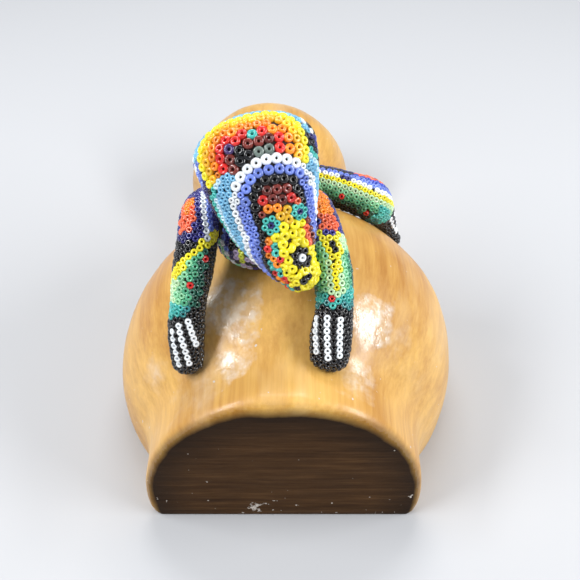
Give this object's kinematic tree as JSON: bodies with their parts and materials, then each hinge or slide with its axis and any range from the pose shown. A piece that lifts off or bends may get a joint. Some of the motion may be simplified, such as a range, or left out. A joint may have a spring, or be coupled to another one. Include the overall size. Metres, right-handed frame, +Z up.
{
  "type": "beaded animal figure on a gourd base",
  "caption": "Small climbing animal covered in glass seed beads, fixed on a varnished wooden half-gourd base with a flat underside, for display.",
  "frame": {"origin": "centre of the bounding box, on the flat underside that rests on the table", "axes": "+Z up; +Y along the gourd, from the flat foot face to the small rear bulb; +X to the right as seen from the foot face. Left and right in node names are as seen from the foot face."},
  "size_m": [0.122, 0.2242, 0.1213],
  "materials": {
    "gourd_wood": "satin varnish over brushed ochre stain, foot face stained dark brown",
    "core_wood": "bare carved wood",
    "peg_wood": "bare turned wood",
    "wax": "soft dark beeswax",
    "torso_beads": "glossy opaque seed beads",
    "head_beads": "glossy opaque seed beads",
    "neck_beads": "glossy opaque seed beads",
    "arm_beads": "glossy opaque seed beads",
    "leg_beads": "glossy opaque seed beads",
    "claw_beads": "glossy white seed beads",
    "eye_beads": "glossy turquoise seed beads",
    "black_beads": "glossy black seed beads",
    "wax_drop": "dull grey-brown wax"
  },
  "bodies": {
    "root": {"gourd_base": "gourd_wood", "torso_core": "core_wood", "head_core": "core_wood", "left_arm_core": "core_wood", "right_arm_core": "core_wood", "left_leg_core": "core_wood", "right_leg_core": "core_wood", "torso_wax": "wax", "head_wax": "wax", "left_arm_wax": "wax", "right_arm_wax": "wax", "left_leg_wax": "wax", "right_leg_wax": "wax", "torso_beads": "torso_beads", "head_beads": "head_beads", "neck_beads": "neck_beads", "left_arm_beads": "arm_beads", "right_arm_beads": "arm_beads", "left_leg_beads": "leg_beads", "right_leg_beads": "leg_beads", "left_hand_claws": "claw_beads", "right_hand_claws": "claw_beads", "left_foot_claws": "claw_beads", "right_foot_claws": "claw_beads", "left_eye_beads": "eye_beads", "right_eye_beads": "eye_beads", "nose_beads": "black_beads", "mouth_beads": "black_beads", "front_peg": "peg_wood", "rear_peg": "peg_wood", "neck_dowel": "peg_wood", "left_arm_dowel": "peg_wood", "right_arm_dowel": "peg_wood", "left_leg_dowel": "peg_wood", "right_leg_dowel": "peg_wood", "wax_nub": "wax_drop"}
  },
  "joints": []
}
